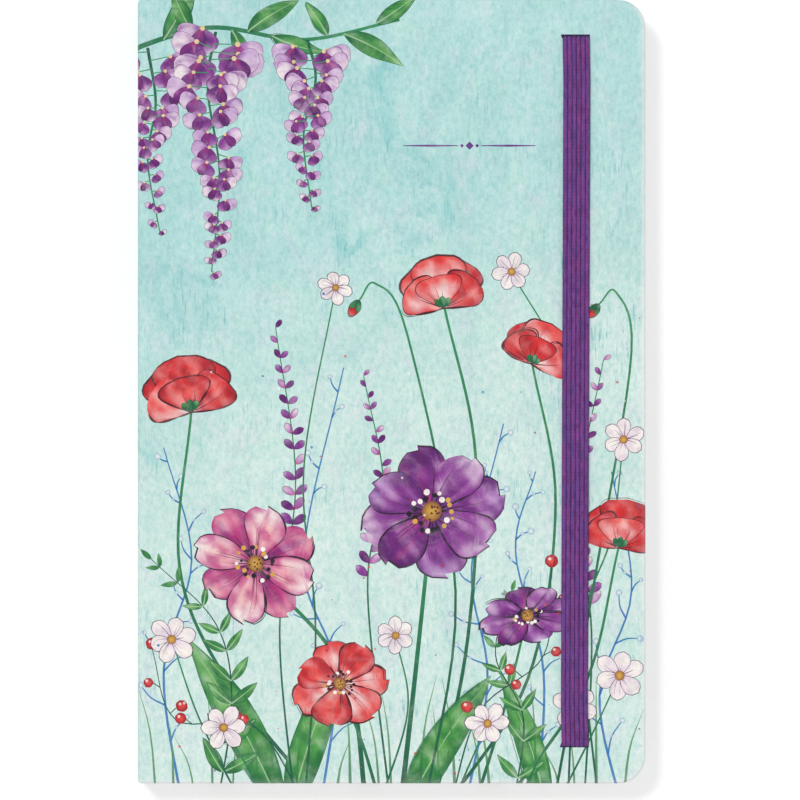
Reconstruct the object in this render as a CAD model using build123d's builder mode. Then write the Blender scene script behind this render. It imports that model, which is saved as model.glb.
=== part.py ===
import math
import os

from build123d import *

os.makedirs("parts", exist_ok=True)

# Closed case, in millimetres
COVER_W = 127.0  # spine face to fore edge
COVER_H = 196.0  # head to tail
CORNER_R = 7.0  # fore-edge corners of both covers
EDGE_R = 0.5  # worn-round outer edge of the boards

# Boards and sheets
BOARD_T = 2.0
SPINE_BOARD_T = 1.2
WRAP_T = 0.25  # printed paper glued round the boards
TURN_IN = 14.0  # how far the printed paper folds onto the inner faces
PASTEDOWN_T = 0.2
FLYLEAF_T = 0.2
LINING_T = 0.35  # cloth glued on the backs of the sections
LINING_SHORT = 12.0  # the cloth stops this far from head and tail
BAND_R = 0.6  # bead of the head and tail bands
BAND_SKIRT = 9.0  # cloth below the bead, glued on the backs of the sections

# Leaves
LEAF_T = 0.13
LEAVES_PER_SECTION = 7
SECTION_LETTERS = [
    "a_b", "c_d", "e_f", "g_h", "i_j", "k_l", "m_n", "o_p", "q_r", "s_t", "u_v", "w_z",
]
SQUARE = 3.0  # how far the covers stand out past the leaves
PAGE_CORNER_R = 5.0
TAB_W = 7.0  # step cut away below each letter tab
TAB_R = 2.5  # outer corner of a tab
STEP_R = 1.5  # inner corner of the step

# Elastic band on the front cover
STRAP_W = 6.75
STRAP_T = 1.0
RIB_COUNT = 6
RIB_RISE = 0.2
STRAP_FROM_FORE_EDGE = 17.5
SLIT_FROM_EDGE = 9.5
STRAP_TAIL = 18.0  # glued length inside the front cover

# Clearances
JOINT_CLEARANCE = 0.3  # board edge past the spine's inner sheet
HOLLOW_CLEARANCE = 0.35  # spine's inner sheet to the cloth lining
SLIT_CLEARANCE = 0.15
BAND_CLEARANCE = 0.05  # bead to the ends of the leaves

# Sizes that follow from those above
X_SPINE = -COVER_W / 2
X_FORE = COVER_W / 2
Y_HEAD = COVER_H / 2
SECTION_T = LEAF_T * LEAVES_PER_SECTION
SECTION_COUNT = len(SECTION_LETTERS)
COVER_T = WRAP_T + BOARD_T + WRAP_T + PASTEDOWN_T
BOOK_T = 2 * (COVER_T + FLYLEAF_T) + SECTION_T * SECTION_COUNT
BOARD_SETBACK = 2 * WRAP_T + SPINE_BOARD_T + JOINT_CLEARANCE
BOARD_LEFT = X_SPINE + BOARD_SETBACK
JOINT_R = 0.75 * BOARD_SETBACK  # outside of the paper where it turns from cover to spine
LIP_LEFT = X_SPINE + JOINT_R
BLOCK_BACK = X_SPINE + 2 * WRAP_T + SPINE_BOARD_T + HOLLOW_CLEARANCE + LINING_T
PAGE_RIGHT = X_FORE - SQUARE
PAGE_TOP = Y_HEAD - SQUARE
PAGE_W = PAGE_RIGHT - BLOCK_BACK
PAGE_H = 2 * PAGE_TOP
TAB_H = PAGE_H / SECTION_COUNT
FOLD_R = 0.35 * SECTION_T

Z_INNER = BOOK_T - COVER_T  # inner face of the front pastedown
Z_TURN_IN = Z_INNER + PASTEDOWN_T
Z_BOARD = Z_TURN_IN + WRAP_T
Z_OUTER = BOOK_T

STRAP_X = X_FORE - STRAP_FROM_FORE_EDGE
SLIT_Y = Y_HEAD - SLIT_FROM_EDGE
SLIT_L = STRAP_W + 2 * SLIT_CLEARANCE
SLIT_GAP = STRAP_T + 2 * SLIT_CLEARANCE
SPAN = 2 * (SLIT_Y - STRAP_T / 2)

MID_PLANE = Plane.XY.offset(BOOK_T / 2)


def finish(builder, name):
    builder.part.label = name
    export_step(builder.part, "parts/" + name + ".step")


# Board shape without the slits, shared by the front and back boards
BOARD_W = X_FORE - WRAP_T - BOARD_LEFT
BOARD_X = (X_FORE - WRAP_T + BOARD_LEFT) / 2
with BuildPart() as plain_board:
    with BuildSketch(Plane(origin=(BOARD_X, 0, Z_BOARD))) as board_outline:
        Rectangle(BOARD_W, COVER_H - 2 * WRAP_T)
        fillet(board_outline.vertices().group_by(Axis.X)[-1], radius=CORNER_R - WRAP_T)
    extrude(amount=BOARD_T)
    board_rim = plain_board.faces().sort_by(Axis.Z)[-1].edges().sort_by(Axis.X)
    fillet(board_rim[1:], radius=EDGE_R)

# Front board: two slits for the elastic and a rebate for each glued end
REBATE_L = STRAP_TAIL + SLIT_GAP
with BuildPart() as front_board:
    add(plain_board.part)
    for side in (1, -1):
        with BuildSketch(Plane(origin=(STRAP_X, side * SLIT_Y, Z_BOARD))):
            Rectangle(SLIT_L, SLIT_GAP)
        extrude(amount=BOARD_T, mode=Mode.SUBTRACT)
        rebate_y = side * (SLIT_Y + SLIT_GAP / 2 - REBATE_L / 2)
        with BuildSketch(Plane(origin=(STRAP_X, rebate_y, Z_BOARD))):
            Rectangle(SLIT_L, REBATE_L)
        extrude(amount=STRAP_T + SLIT_CLEARANCE / 2, mode=Mode.SUBTRACT)
finish(front_board, "front_board")

with BuildPart() as back_board:
    mirror(plain_board.part, about=MID_PLANE)
finish(back_board, "back_board")

# Printed paper round a board: outer sheet, three edges and the turn-ins
WRAP_W = X_FORE - LIP_LEFT
WRAP_X = (X_FORE + LIP_LEFT) / 2
WINDOW_W = X_FORE - TURN_IN - BOARD_LEFT
WINDOW_X = (X_FORE - TURN_IN + BOARD_LEFT) / 2
WINDOW_H = COVER_H - 2 * TURN_IN
LIP_W = BOARD_LEFT - LIP_LEFT
with BuildPart() as plain_wrap:
    with BuildSketch(Plane(origin=(WRAP_X, 0, Z_TURN_IN))) as wrap_outline:
        Rectangle(WRAP_W, COVER_H)
        fillet(wrap_outline.vertices().group_by(Axis.X)[-1], radius=CORNER_R)
    extrude(amount=Z_OUTER - Z_TURN_IN)
    wrap_rim = plain_wrap.faces().sort_by(Axis.Z)[-1].edges().sort_by(Axis.X)
    fillet(wrap_rim[1:], radius=EDGE_R + WRAP_T)
    add(plain_board.part, mode=Mode.SUBTRACT)
    with BuildSketch(Plane(origin=(WINDOW_X, 0, Z_TURN_IN))):
        Rectangle(WINDOW_W, WINDOW_H)
    extrude(amount=WRAP_T, mode=Mode.SUBTRACT)
    with BuildSketch(Plane(origin=(LIP_LEFT + LIP_W / 2, 0, Z_TURN_IN))):
        Rectangle(LIP_W, COVER_H)
    extrude(amount=Z_OUTER - WRAP_T - Z_TURN_IN, mode=Mode.SUBTRACT)

with BuildPart() as front_wrap:
    add(plain_wrap.part)
    for side in (1, -1):
        with BuildSketch(Plane(origin=(STRAP_X, side * SLIT_Y, Z_OUTER - WRAP_T))):
            Rectangle(SLIT_L, SLIT_GAP)
        extrude(amount=WRAP_T, mode=Mode.SUBTRACT)
finish(front_wrap, "front_wrap")

with BuildPart() as back_wrap:
    mirror(plain_wrap.part, about=MID_PLANE)
finish(back_wrap, "back_wrap")

# Pastedowns: a sheet over the turn-ins, with the window between them filled
SHEET_W = PAGE_RIGHT - BOARD_LEFT
SHEET_X = (PAGE_RIGHT + BOARD_LEFT) / 2
with BuildPart() as front_pastedown:
    with BuildSketch(Plane(origin=(SHEET_X, 0, Z_INNER))) as sheet_outline:
        Rectangle(SHEET_W, PAGE_H)
        fillet(sheet_outline.vertices().group_by(Axis.X)[-1], radius=PAGE_CORNER_R)
    extrude(amount=PASTEDOWN_T)
    with BuildSketch(Plane(origin=(WINDOW_X, 0, Z_TURN_IN))):
        Rectangle(WINDOW_W, WINDOW_H)
    extrude(amount=WRAP_T)
finish(front_pastedown, "front_pastedown")

with BuildPart() as back_pastedown:
    mirror(front_pastedown.part, about=MID_PLANE)
finish(back_pastedown, "back_pastedown")

# Spine board, and the printed paper over it with turn-ins at head and tail
SPINE_H = BOOK_T - 2 * JOINT_R
SPINE_BOARD_X = X_SPINE + WRAP_T + SPINE_BOARD_T / 2
with BuildPart() as spine_board:
    with BuildSketch(Plane(origin=(SPINE_BOARD_X, 0, JOINT_R))):
        Rectangle(SPINE_BOARD_T, COVER_H - 2 * WRAP_T)
    extrude(amount=SPINE_H)
finish(spine_board, "spine_board")

SPINE_STACK = 2 * WRAP_T + SPINE_BOARD_T
with BuildPart() as spine_wrap:
    with BuildSketch(Plane(origin=(X_SPINE + SPINE_STACK / 2, 0, JOINT_R))):
        Rectangle(SPINE_STACK, COVER_H)
    extrude(amount=SPINE_H)
    with BuildSketch(Plane(origin=(SPINE_BOARD_X, 0, JOINT_R))):
        Rectangle(SPINE_BOARD_T, COVER_H - 2 * WRAP_T)
    extrude(amount=SPINE_H, mode=Mode.SUBTRACT)
    with BuildSketch(Plane(origin=(X_SPINE + SPINE_STACK - WRAP_T / 2, 0, JOINT_R))):
        Rectangle(WRAP_T, WINDOW_H)
    extrude(amount=SPINE_H, mode=Mode.SUBTRACT)
finish(spine_wrap, "spine_wrap")

# Printed paper bending round the two joints
Z_BEND = Z_OUTER - JOINT_R
HALF = math.sqrt(0.5)
INNER_R = JOINT_R - WRAP_T
with BuildPart() as front_joint_strip:
    with BuildSketch(Plane(origin=(LIP_LEFT, Y_HEAD, Z_BEND), x_dir=(1, 0, 0), z_dir=(0, -1, 0))):
        with BuildLine():
            ThreePointArc((-JOINT_R, 0), (-JOINT_R * HALF, JOINT_R * HALF), (0, JOINT_R))
            Line((0, JOINT_R), (0, INNER_R))
            ThreePointArc((0, INNER_R), (-INNER_R * HALF, INNER_R * HALF), (-INNER_R, 0))
            Line((-INNER_R, 0), (-JOINT_R, 0))
        make_face()
    extrude(amount=COVER_H)
finish(front_joint_strip, "front_joint_strip")

with BuildPart() as rear_joint_strip:
    mirror(front_joint_strip.part, about=MID_PLANE)
finish(rear_joint_strip, "rear_joint_strip")

# Flyleaves: one plain sheet at each side of the sections
PAGE_X = (PAGE_RIGHT + BLOCK_BACK) / 2
with BuildPart() as front_flyleaf:
    with BuildSketch(Plane(origin=(PAGE_X, 0, Z_INNER - FLYLEAF_T))) as fly_outline:
        Rectangle(PAGE_W, PAGE_H)
        fillet(fly_outline.vertices().group_by(Axis.X)[-1], radius=PAGE_CORNER_R)
    extrude(amount=FLYLEAF_T)
finish(front_flyleaf, "front_flyleaf")

with BuildPart() as back_flyleaf:
    mirror(front_flyleaf.part, about=MID_PLANE)
finish(back_flyleaf, "back_flyleaf")

# Sections of leaves, first letters on top; each is cut back below its own tab
BODY_W = PAGE_W - TAB_W
BODY_X = BLOCK_BACK + BODY_W / 2
TAB_X = PAGE_RIGHT - TAB_W / 2
for index, letters in enumerate(SECTION_LETTERS):
    z_low = Z_INNER - FLYLEAF_T - (index + 1) * SECTION_T
    strip_h = (index + 1) * TAB_H
    last = index == SECTION_COUNT - 1
    with BuildPart() as leaves:
        with BuildSketch(Plane(origin=(BODY_X, 0, z_low))) as leaf_outline:
            Rectangle(BODY_W, PAGE_H)
            strip = Plane(origin=(TAB_X - BODY_X, PAGE_TOP - strip_h / 2, 0))
            add(strip.location * Rectangle(TAB_W, strip_h, mode=Mode.PRIVATE))
            outer = leaf_outline.vertices().group_by(Axis.X)[-1].sort_by(Axis.Y)
            head_corner = outer[-1]
            foot_corner = outer[0]
            if last:
                fillet([head_corner, foot_corner], radius=PAGE_CORNER_R)
            else:
                fillet(head_corner, radius=PAGE_CORNER_R)
                low = leaf_outline.vertices().group_by(Axis.X)[-1].sort_by(Axis.Y)[0]
                fillet(low, radius=TAB_R)
                step_x = PAGE_RIGHT - TAB_W - BODY_X
                step = leaf_outline.vertices().sort_by_distance((step_x, PAGE_TOP - strip_h))[0]
                fillet(step, radius=STEP_R)
                foot = leaf_outline.vertices().sort_by_distance((step_x, -PAGE_TOP))[0]
                fillet(foot, radius=PAGE_CORNER_R)
        extrude(amount=SECTION_T)
        folds = leaves.edges().filter_by(Axis.Y).group_by(Axis.X)[0]
        fillet(folds, radius=FOLD_R)
    finish(leaves, "leaves_" + letters)

# Cloth lining on the backs of the sections
with BuildPart() as spine_lining:
    with BuildSketch(Plane(origin=(BLOCK_BACK - LINING_T / 2, 0, COVER_T))):
        Rectangle(LINING_T, PAGE_H - 2 * LINING_SHORT)
    extrude(amount=BOOK_T - 2 * COVER_T)
finish(spine_lining, "spine_lining")

# Head and tail bands: a round bead over the ends of the backs, on a cloth skirt
SKIRT_T = LINING_T
BEAD_Y = PAGE_TOP + BAND_CLEARANCE + BAND_R
SKIRT_H = BEAD_Y - PAGE_TOP + BAND_SKIRT
with BuildPart() as head_band:
    with BuildSketch(Plane(origin=(BLOCK_BACK - SKIRT_T / 2, BEAD_Y - SKIRT_H / 2, COVER_T))):
        Rectangle(SKIRT_T, SKIRT_H)
    extrude(amount=BOOK_T - 2 * COVER_T)
    with BuildSketch(Plane(origin=(BLOCK_BACK - SKIRT_T + BAND_R, BEAD_Y, COVER_T))):
        Circle(BAND_R)
    extrude(amount=BOOK_T - 2 * COVER_T)
finish(head_band, "head_band")

with BuildPart() as tail_band:
    mirror(head_band.part, about=Plane.XZ)
finish(tail_band, "tail_band")

# Elastic band: ribbed span across the front cover
RIB_PITCH = STRAP_W / RIB_COUNT
VALLEY_Z = STRAP_T - RIB_RISE
HALF_W = STRAP_W / 2
with BuildPart() as elastic_strap:
    with BuildSketch(Plane(origin=(STRAP_X, SPAN / 2, Z_OUTER), x_dir=(1, 0, 0), z_dir=(0, -1, 0))):
        with BuildLine():
            Polyline((-HALF_W, VALLEY_Z), (-HALF_W, 0), (HALF_W, 0), (HALF_W, VALLEY_Z))
            for rib in range(RIB_COUNT):
                right = HALF_W - rib * RIB_PITCH
                ThreePointArc(
                    (right, VALLEY_Z),
                    (right - RIB_PITCH / 2, STRAP_T),
                    (right - RIB_PITCH, VALLEY_Z),
                )
        make_face()
    extrude(amount=SPAN)
finish(elastic_strap, "elastic_strap")

# Elastic ends: each turns down through its slit and lies glued in the rebate
NEAR_Y = SLIT_Y - STRAP_T / 2
FAR_Y = SLIT_Y + STRAP_T / 2
TAIL_Y = NEAR_Y - STRAP_TAIL
END_BEND_R = 0.7 * STRAP_T
with BuildPart() as elastic_end_head:
    end_plane = Plane(origin=(STRAP_X - HALF_W, 0, 0), x_dir=(0, 1, 0), z_dir=(1, 0, 0))
    with BuildSketch(end_plane) as end_profile:
        with BuildLine():
            Polyline(
                (NEAR_Y, Z_OUTER + STRAP_T),
                (FAR_Y, Z_OUTER + STRAP_T),
                (FAR_Y, Z_BOARD),
                (TAIL_Y, Z_BOARD),
                (TAIL_Y, Z_BOARD + STRAP_T),
                (NEAR_Y, Z_BOARD + STRAP_T),
                close=True,
            )
        make_face()
        bend = end_profile.vertices().group_by(Axis.X)[-1]
        fillet(bend, radius=END_BEND_R)
    extrude(amount=STRAP_W)
finish(elastic_end_head, "elastic_end_head")

with BuildPart() as elastic_end_tail:
    mirror(elastic_end_head.part, about=Plane.XZ)
finish(elastic_end_tail, "elastic_end_tail")
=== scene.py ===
import math
import random

import bpy
import numpy as np
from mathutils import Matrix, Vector
from mathutils.geometry import delaunay_2d_cdt


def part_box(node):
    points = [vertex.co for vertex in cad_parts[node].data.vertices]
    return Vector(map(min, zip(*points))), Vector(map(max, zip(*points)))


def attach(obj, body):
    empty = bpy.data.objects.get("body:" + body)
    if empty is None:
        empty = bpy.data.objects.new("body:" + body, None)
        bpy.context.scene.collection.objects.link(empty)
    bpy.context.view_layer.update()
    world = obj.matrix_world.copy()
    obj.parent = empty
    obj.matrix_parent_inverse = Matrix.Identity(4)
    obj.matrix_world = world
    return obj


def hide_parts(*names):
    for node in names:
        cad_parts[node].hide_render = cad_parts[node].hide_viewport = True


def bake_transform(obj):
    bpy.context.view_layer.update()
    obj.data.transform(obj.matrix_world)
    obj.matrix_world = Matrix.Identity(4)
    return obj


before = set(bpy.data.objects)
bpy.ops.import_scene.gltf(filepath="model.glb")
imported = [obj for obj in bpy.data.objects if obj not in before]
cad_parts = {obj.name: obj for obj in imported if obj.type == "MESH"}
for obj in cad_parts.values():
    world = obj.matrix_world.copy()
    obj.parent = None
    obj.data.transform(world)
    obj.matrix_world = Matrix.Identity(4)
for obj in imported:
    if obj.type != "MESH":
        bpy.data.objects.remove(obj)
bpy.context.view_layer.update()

MM = 0.001


def box_mm(node):
    low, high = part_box(node)
    return [c / MM for c in low], [c / MM for c in high]


# Sizes read from the frame, in millimetres
WRAP_LOW, WRAP_HIGH = box_mm("front_wrap")
SPINE_LOW, SPINE_HIGH = box_mm("spine_wrap")
STRAP_LOW, STRAP_HIGH = box_mm("elastic_strap")
END_LOW, END_HIGH = box_mm("elastic_end_head")
PAGE_LOW, PAGE_HIGH = box_mm("leaves_w_z")
X_SPINE = SPINE_LOW[0]
X_FORE = WRAP_HIGH[0]
Y_HEAD = WRAP_HIGH[1]
BOOK_T = WRAP_HIGH[2]
LIP_LEFT = WRAP_LOW[0]
COVER_STACK = BOOK_T - WRAP_LOW[2]
SPINE_STACK = SPINE_HIGH[0] - SPINE_LOW[0]
JOINT_R = LIP_LEFT - X_SPINE
STRAP_X = (STRAP_LOW[0] + STRAP_HIGH[0]) / 2
STRAP_W = STRAP_HIGH[0] - STRAP_LOW[0]
STRAP_T = STRAP_HIGH[2] - STRAP_LOW[2]
SLIT_Y = END_HIGH[1] - STRAP_T / 2
SECTION_T = PAGE_HIGH[2] - PAGE_LOW[2]

# Sizes in millimetres and counts of the part's source that the frame's boxes don't give
PAPER_T = 0.25
CORNER_R = 7.0
RIM_R = 0.75
INNER_RIM_R = 0.3
TURN_SEEN = 3.6
SPINE_TURN_SEEN = 8.0
JOINT_TURN_SEEN = 0.05
SLIT_CLEARANCE = 0.15
RIBS = 6
LETTERS = ["a_b", "c_d", "e_f", "g_h", "i_j", "k_l", "m_n", "o_p", "q_r", "s_t", "u_v", "w_z"]
LEAVES = 7
TAB_W = 7.0
TAB_R = 2.5
STEP_R = 1.5
PAGE_R = 5.0
TAB_H = (PAGE_HIGH[1] - PAGE_LOW[1]) / len(LETTERS)

# The print lies on one flat plane: u runs towards the front cover's fore edge, v towards the head
U_FRONT_JOINT = LIP_LEFT - JOINT_R * math.pi / 2
U_REAR_JOINT = U_FRONT_JOINT - (BOOK_T - 2 * JOINT_R)
U_BACK = U_REAR_JOINT - JOINT_R * math.pi / 2


# Colours are given and mixed as screen values, and made linear last
def rgb(r, g, b):
    return np.array((r, g, b), float) / 255


def linear(colour):
    c = np.clip(colour, 0, 1)
    return np.where(c <= 0.04045, c / 12.92, ((c + 0.055) / 1.055) ** 2.4)


def lin(r, g, b):
    return tuple(linear(rgb(r, g, b)).tolist())


def mix(a, b, t):
    return a + (b - a) * np.clip(np.asarray(t, float), 0, 1)[..., None]


def smooth(t):
    t = np.clip(t, 0, 1)
    return t * t * (3 - 2 * t)


def cloud(x, y):
    """A soft value between about -1 and 1 that wanders over the plane."""
    return (np.sin(1.7 * x + 0.6 * y) + np.sin(2.3 * y - 0.9 * x + 1) + np.sin(3.1 * x + 2.7 * y + 2)) / 3


VIOLET_DEEP = rgb(86, 20, 102)
VIOLET = rgb(136, 50, 144)
LILAC = rgb(204, 168, 216)
MAGENTA = rgb(180, 44, 120)
RED = rgb(214, 32, 38)
RED_DARK = rgb(150, 16, 36)
CORAL = rgb(236, 74, 70)
PINK = rgb(246, 184, 184)
CREAM = rgb(252, 246, 238)
INK = rgb(28, 14, 34)
INK_RED = rgb(72, 12, 26)
STEM = rgb(20, 92, 68)
STEM_LIGHT = rgb(52, 144, 94)
LEAF = rgb(84, 164, 70)
LEAF_DARK = rgb(20, 104, 58)
SPRIG = rgb(0, 112, 182)
OCHRE = rgb(218, 170, 76)
RULE_PURPLE = rgb(110, 62, 140)
SEPAL = (STEM, LEAF_DARK, LEAF, STEM)
REDS = [
    (CORAL, RED, RED, RED_DARK),
    (PINK, CORAL, RED, RED_DARK),
    (CREAM, PINK, CORAL, RED),
]
VIOLETS = [
    (VIOLET_DEEP, VIOLET, LILAC, VIOLET_DEEP),
    (VIOLET_DEEP, VIOLET, mix(LILAC, CREAM, 0.5), VIOLET),
    (MAGENTA, VIOLET, VIOLET_DEEP, VIOLET_DEEP),
]
MAGENTAS = [
    (VIOLET_DEEP, MAGENTA, PINK, MAGENTA),
    (MAGENTA, PINK, CREAM, MAGENTA),
]
SPIKE_TONES = [
    (VIOLET_DEEP, VIOLET, LILAC, VIOLET),
    (MAGENTA, LILAC, CREAM, VIOLET),
    (VIOLET, VIOLET_DEEP, VIOLET, VIOLET_DEEP),
]
PEN_LENGTH = 8.5  # petals from this length on have a broken pen line, shorter ones a dark rim
GROUND = -106.0  # plants start here, on the paper that is turned in at the tail
PRINT_SEED = 7
STAMENS = 22
SMALL_PETALS = 6
SPRIG_W = 0.7
TINY = 1e-9  # keeps a division by a length of nothing from failing


# The print: outlines painted in order on the flat sheet
def turned(angle):
    return np.array(((math.cos(angle), -math.sin(angle)), (math.sin(angle), math.cos(angle))))


def tilted(degrees, amount):
    """Foreshortening of a flower that faces partly away."""
    r = turned(math.radians(degrees))
    return r @ np.diag((1.0, amount)) @ r.T


def curve(points, n):
    """A smooth path through a few points."""
    pts = np.asarray(points, float)
    ext = np.concatenate([[2 * pts[0] - pts[1]], pts, [2 * pts[-1] - pts[-2]]])
    spans = len(pts) - 1
    per = max(3, n // spans)
    out = []
    for i in range(spans):
        a, b, c, d = ext[i : i + 4]
        for j in range(per + (i == spans - 1)):
            t = j / per
            cubic = (2 * a - 5 * b + 4 * c - d) * t**2 + (3 * b - a - 3 * c + d) * t**3
            out.append(0.5 * (2 * b + (c - a) * t + cubic))
    return np.array(out)


def quarter(steps):
    """Angles that divide a right angle evenly."""
    return [math.pi / 2 * k / steps for k in range(steps + 1)]


def heading(line, i):
    d = line[min(i + 1, len(line) - 1)] - line[max(i - 1, 0)]
    return math.atan2(d[1], d[0])


def places(line, count, start, end=1.0):
    """Spots along a path: number, share of the way, index on the path, and side by turns."""
    for k in range(count):
        t = start + (end - start) * k / max(count - 1, 1)
        yield k, t, int(t * (len(line) - 1)), 1 if k % 2 else -1


def grow(x, *points):
    """A path that starts on the ground."""
    return [(x, GROUND), *points]


def repeat(art, motif, *rows):
    """The same motif at several places."""
    for row in rows:
        motif(art, *row)


class Print:
    """Painted outlines, later ones on top, each with a function that gives colours and cover at points."""

    def __init__(self, seed):
        self.rng = random.Random(seed)
        self.regions = []

    def add(self, points, shade):
        points = np.asarray(points, float)
        x, y = points[:, 0], points[:, 1]
        if float(x @ np.roll(y, -1) - y @ np.roll(x, -1)) < 0:
            points = points[::-1]
        self.regions.append((points, shade))

    def stroke(self, path, start_w, end_w, colour, cover=1.0, end_colour=None, belly=0.0):
        path = np.asarray(path, float)
        d = np.gradient(path, axis=0)
        d /= np.maximum(np.linalg.norm(d, axis=1), TINY)[:, None]
        t = np.linspace(0, 1, len(path))
        half = (start_w + (end_w - start_w) * t + belly * np.sin(np.pi * t)) / 2
        side = np.stack([-d[:, 1], d[:, 0]], 1) * half[:, None]
        a = path[0]
        span = path[-1] - a
        size = max(float(span @ span), TINY)
        end_colour = colour if end_colour is None else end_colour
        outline = np.concatenate([path + side, (path - side)[::-1]])
        self.add(outline, lambda p: (mix(colour, end_colour, (p - a) @ span / size), cover))

    def dot(self, centre, r, colour, cover, rim=None, n=10):
        centre = np.asarray(centre, float)
        rim = colour if rim is None else rim
        radii = [r * (1 + 0.12 * (self.rng.random() - 0.5)) for _ in range(n)]
        points = [centre + radii[i] * turned(2 * math.pi * i / n)[:, 0] for i in range(n)]
        self.add(points, lambda p: (mix(colour, rim, (np.linalg.norm(p - centre, axis=1) / r) ** 2), cover))

    def petal(
        self, base, angle, length, width, tones, peak=0.6, fullness=0.55, notch=0.0, bend=0.0, ink=INK,
        ink_w=0.4, veins=3, n=15, tilt=None, streak=0.5, ripple=0.03,
    ):
        """A petal or leaf from its base. tones are the colours of base, middle, tip and border."""
        base = np.asarray(base, float)
        seed = self.rng.random() * 50
        power = math.log(0.5) / math.log(peak)

        def half_width(t):
            return width / 2 * np.maximum(np.sin(np.pi * t**power), 0.0) ** fullness

        t = np.linspace(0, 1, n)
        half = np.maximum(half_width(t), 0.02 * width * (t == 0))
        sway = bend * length * t * t
        wave = ripple * length * t
        right = np.stack([t * length, sway - half - wave * cloud(3 * t, seed)], 1)
        left = np.stack([t * length, sway + half + wave * cloud(3 * t, seed + 9)], 1)
        tip = np.array([(length * (1 - notch), sway[-1])]) if notch else np.empty((0, 2))
        turn = turned(angle) if tilt is None else tilt @ turned(angle)
        back = np.linalg.inv(turn)
        outline = np.concatenate([right, tip, left[::-1][1:]]) @ turn.T + base
        root, middle, end, border = tones

        def shade(p):
            x, y = back @ (p - base).T
            t = np.clip(x / length, 0, 1)
            s = (y - bend * length * t * t) / np.maximum(half_width(t), 0.05 * width)
            c = mix(mix(root, middle, smooth(2 * t)), end, smooth(2 * t - 1))
            c = mix(c, border, 0.75 * np.abs(s) ** 3)
            f = cloud(3.5 * s + seed, 1.6 * t) * streak
            c = mix(mix(c, end, f), root, -f)
            pool = cloud(0.4 * p[:, 0] + seed, 0.4 * p[:, 1])
            c = mix(c, CREAM, 0.34 * smooth((pool - 0.05) / 0.8))
            return mix(c, border, 0.5 * smooth((-pool - 0.05) / 0.6)), 1.0

        if length < PEN_LENGTH:
            middle_point = outline.mean(0)
            self.add(outline, lambda p: (ink, 0.85))
            self.add(middle_point + (outline - middle_point) * (1 - 1.1 * ink_w / width), shade)
        else:
            self.add(outline, shade)
            self.pen_line(outline, ink, ink_w)
        for _ in range(veins):
            ts = np.linspace(0.08, self.rng.uniform(0.45, 0.85), 5)
            off = self.rng.uniform(-0.55, 0.55) * half_width(ts)
            line = np.stack([ts * length, bend * length * ts**2 + off], 1)
            self.stroke(line @ turn.T + base, ink_w * 0.7, 0.05, ink, 0.55)

    def pen_line(self, outline, ink, width):
        """A broken line along an outline, with a second, looser one here and there."""
        rng = self.rng
        n = len(outline)
        for share, weight, drift in ((0.86, 1.0, 0.0), (0.35, 0.7, 0.45)):
            moved = outline + np.array((rng.uniform(-drift, drift), rng.uniform(-drift, drift)))
            start = rng.randrange(n)
            done = 0
            while done < n - 2:
                run = min(rng.randint(5, 11), n - done)
                ids = [(start + done + k) % n for k in range(run + 1)]
                done += run
                if rng.random() < share:
                    w = width * weight * rng.uniform(0.55, 1.25)
                    self.stroke(moved[ids], w * 0.35, w * 0.35, ink, rng.uniform(0.8, 1.0), belly=w * 0.8)

    def leaf(self, base, degrees, length, width, bend=0.0, rib=True):
        angle = math.radians(degrees)
        tones = (LEAF_DARK, LEAF, mix(LEAF, CREAM, 0.25), LEAF_DARK)
        self.petal(
            base, angle, length, width, tones, peak=0.42, fullness=0.9, bend=bend, ink=LEAF_DARK, ink_w=0.2,
            veins=0, n=15 if length > PEN_LENGTH else 8, streak=0.6, ripple=0.02,
        )
        if rib:
            t = np.linspace(0, 0.92, 8)
            line = np.stack([t * length, bend * length * t * t], 1) @ turned(angle).T
            self.stroke(line + np.asarray(base, float), 0.45, 0.08, mix(LEAF, CREAM, 0.55), 0.8)

    def stem(self, path, width):
        self.stroke(curve(path, 30), width, width * 0.62, STEM, 1.0, STEM_LIGHT)


def open_flower(art, centre, r, tones, turn, petals, tilt, ink=INK, broad=0.62):
    """A flower of notched petals seen from the front, with a ring of stamens."""
    rng = art.rng
    flat = tilted(*tilt)
    for k in list(range(0, petals, 2)) + list(range(1, petals, 2)):
        a = math.radians(turn) + 2 * math.pi * k / petals + rng.uniform(-0.07, 0.07)
        art.petal(
            centre, a, r * rng.uniform(0.9, 1.05), r * broad * rng.uniform(0.92, 1.1),
            tones[k % len(tones)], peak=0.68, fullness=0.5, notch=0.07, bend=rng.uniform(-0.04, 0.04),
            ink=ink, n=17, tilt=flat, ripple=0.05,
        )
    for k in range(STAMENS):
        ray = flat @ turned(2 * math.pi * k / STAMENS + rng.uniform(-0.12, 0.12))[:, 0] * r
        end = centre + ray * rng.uniform(0.2, 0.31)
        art.stroke([centre + ray * 0.08, end], 0.18, 0.14, ink, 0.9)
        art.dot(end, r * 0.03 * rng.uniform(0.8, 1.4), rng.choice((OCHRE, ink, ink, CREAM)), 1.0, n=7)
    art.dot(centre, r * 0.13, OCHRE, 1.0, mix(OCHRE, INK_RED, 0.6), n=16)
    for _ in range(9):
        speck = centre + flat @ turned(rng.uniform(0, 6.3))[:, 0] * r * rng.uniform(0.02, 0.12)
        art.dot(speck, r * 0.016, mix(OCHRE, INK_RED, 0.8), 1.0, n=6)


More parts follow.
